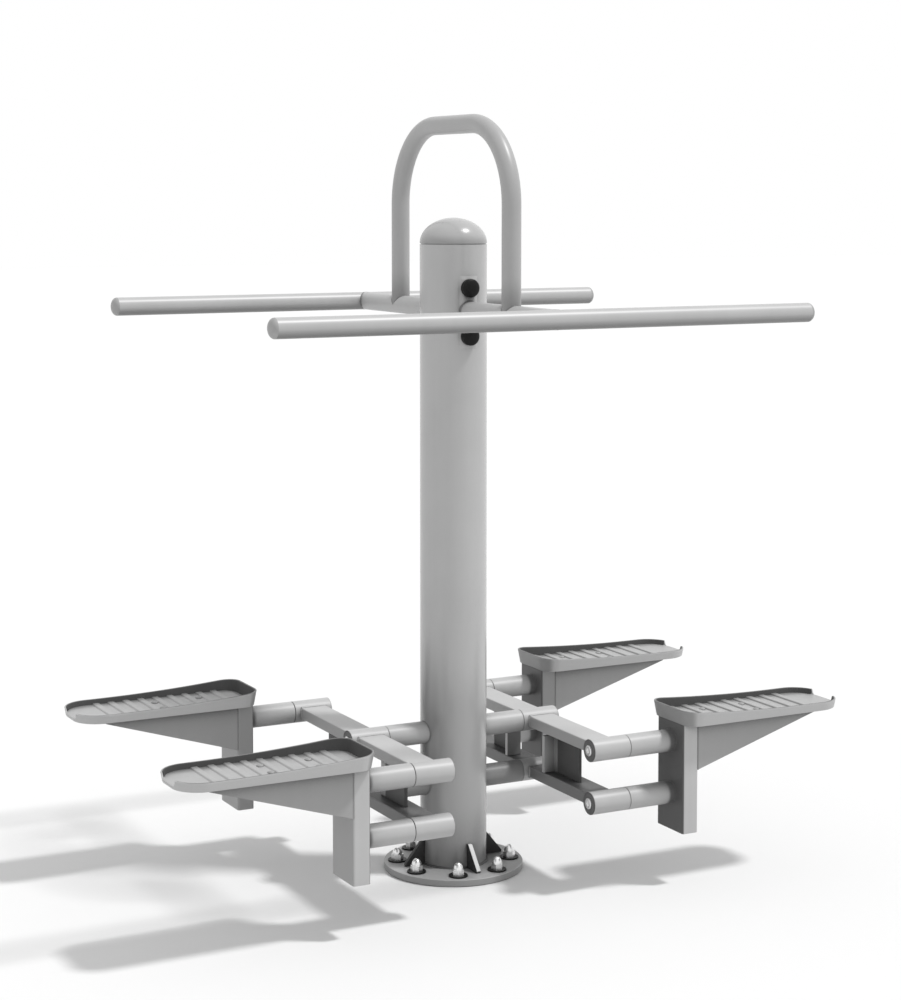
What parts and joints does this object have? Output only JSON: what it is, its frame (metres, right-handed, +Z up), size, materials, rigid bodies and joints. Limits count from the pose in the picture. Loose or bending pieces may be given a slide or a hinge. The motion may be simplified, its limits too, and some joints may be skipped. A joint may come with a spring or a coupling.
{
  "type": "outdoor stepper",
  "caption": "Outdoor stepper: a round post on a bolted flange carries handlebars, a U handle and see-saw parallelogram linkages that keep ribbed footplates level.",
  "frame": {"origin": "centre of the base flange's underside, on the ground", "axes": "+X along the handlebars, +Y towards the rear pedals, +Z up the post"},
  "size_m": [1.218, 0.739, 1.294],
  "materials": {
    "grey_paint": "satin powder coat",
    "dark_paint": "satin dark grey powder coat",
    "zinc_steel": "bright zinc plated",
    "black_plastic": "moulded black nylon",
    "grey_plastic": "moulded grey plastic",
    "bush_nylon": "moulded dark grey nylon",
    "tread_alloy": "painted casting with raised ribs",
    "rubber": "moulded black rubber"
  },
  "bodies": {
    "stand": {"post_tube": "grey_paint", "post_cap": "grey_paint", "base_flange": "dark_paint", "base_gussets": "grey_paint", "anchor_washers": "black_plastic", "anchor_nuts": "zinc_steel", "front_handlebar": "grey_paint", "rear_handlebar": "grey_paint", "bar_end_plugs": "grey_plastic", "front_arm": "grey_paint", "rear_arm": "grey_paint", "front_saddle": "grey_paint", "rear_saddle": "grey_paint", "clamp_bolts": "zinc_steel", "clamp_nuts": "zinc_steel", "clamp_caps": "black_plastic", "u_handle": "grey_paint", "upper_cross_sleeve": "grey_paint", "lower_cross_sleeve": "grey_paint", "axle_bolts": "zinc_steel"},
    "left_upper_rocker": {"left_upper_arms": "grey_paint", "left_upper_pivot_tubes": "grey_paint", "left_upper_bushes": "bush_nylon"},
    "left_lower_rocker": {"left_lower_arms": "grey_paint", "left_lower_pivot_tubes": "grey_paint", "left_lower_bushes": "bush_nylon", "left_stops": "grey_paint", "left_stop_buffers": "rubber"},
    "left_front_pedal": {"left_front_bracket": "grey_paint", "left_front_gusset": "grey_paint", "left_front_footplate": "tread_alloy", "left_front_footplate_screws": "tread_alloy", "left_front_pivot_stubs": "grey_paint", "left_front_pivot_bolts": "zinc_steel"},
    "left_rear_pedal": {"left_rear_bracket": "grey_paint", "left_rear_gusset": "grey_paint", "left_rear_footplate": "tread_alloy", "left_rear_footplate_screws": "tread_alloy", "left_rear_pivot_stubs": "grey_paint", "left_rear_pivot_bolts": "zinc_steel"},
    "right_upper_rocker": {"right_upper_arms": "grey_paint", "right_upper_pivot_tubes": "grey_paint", "right_upper_bushes": "bush_nylon"},
    "right_lower_rocker": {"right_lower_arms": "grey_paint", "right_lower_pivot_tubes": "grey_paint", "right_lower_bushes": "bush_nylon", "right_stops": "grey_paint", "right_stop_buffers": "rubber"},
    "right_front_pedal": {"right_front_bracket": "grey_paint", "right_front_gusset": "grey_paint", "right_front_footplate": "tread_alloy", "right_front_footplate_screws": "tread_alloy", "right_front_pivot_stubs": "grey_paint", "right_front_pivot_bolts": "zinc_steel"},
    "right_rear_pedal": {"right_rear_bracket": "grey_paint", "right_rear_gusset": "grey_paint", "right_rear_footplate": "tread_alloy", "right_rear_footplate_screws": "tread_alloy", "right_rear_pivot_stubs": "grey_paint", "right_rear_pivot_bolts": "zinc_steel"}
  },
  "joints": [
    {"name": "left_upper_rocker_swing", "type": "hinge", "parent": "stand", "child": "left_upper_rocker", "pos_m": [-0.165, 0, 0.241], "axis": [1, 0, 0], "range_deg": [-15, 15]},
    {"name": "left_lower_rocker_swing", "type": "hinge", "parent": "stand", "child": "left_lower_rocker", "pos_m": [-0.165, 0, 0.152], "axis": [1, 0, 0], "range_deg": [-15, 15]},
    {"name": "left_front_pedal_level", "type": "hinge", "parent": "left_upper_rocker", "child": "left_front_pedal", "pos_m": [-0.165, -0.2385, 0.241], "axis": [1, 0, 0], "range_deg": [-15, 15]},
    {"name": "left_rear_pedal_level", "type": "hinge", "parent": "left_upper_rocker", "child": "left_rear_pedal", "pos_m": [-0.165, 0.2385, 0.241], "axis": [1, 0, 0], "range_deg": [-15, 15]},
    {"name": "right_upper_rocker_swing", "type": "hinge", "parent": "stand", "child": "right_upper_rocker", "pos_m": [0.165, 0, 0.241], "axis": [1, 0, 0], "range_deg": [-15, 15]},
    {"name": "right_lower_rocker_swing", "type": "hinge", "parent": "stand", "child": "right_lower_rocker", "pos_m": [0.165, 0, 0.152], "axis": [1, 0, 0], "range_deg": [-15, 15]},
    {"name": "right_front_pedal_level", "type": "hinge", "parent": "right_upper_rocker", "child": "right_front_pedal", "pos_m": [0.165, -0.2385, 0.241], "axis": [1, 0, 0], "range_deg": [-15, 15]},
    {"name": "right_rear_pedal_level", "type": "hinge", "parent": "right_upper_rocker", "child": "right_rear_pedal", "pos_m": [0.165, 0.2385, 0.241], "axis": [1, 0, 0], "range_deg": [-15, 15]}
  ],
  "couplings": [
    {"joint": "left_lower_rocker_swing", "follows": "left_upper_rocker_swing", "ratio": 1},
    {"joint": "left_front_pedal_level", "follows": "left_upper_rocker_swing", "ratio": -1},
    {"joint": "left_rear_pedal_level", "follows": "left_upper_rocker_swing", "ratio": -1},
    {"joint": "right_lower_rocker_swing", "follows": "right_upper_rocker_swing", "ratio": 1},
    {"joint": "right_front_pedal_level", "follows": "right_upper_rocker_swing", "ratio": -1},
    {"joint": "right_rear_pedal_level", "follows": "right_upper_rocker_swing", "ratio": -1}
  ]
}
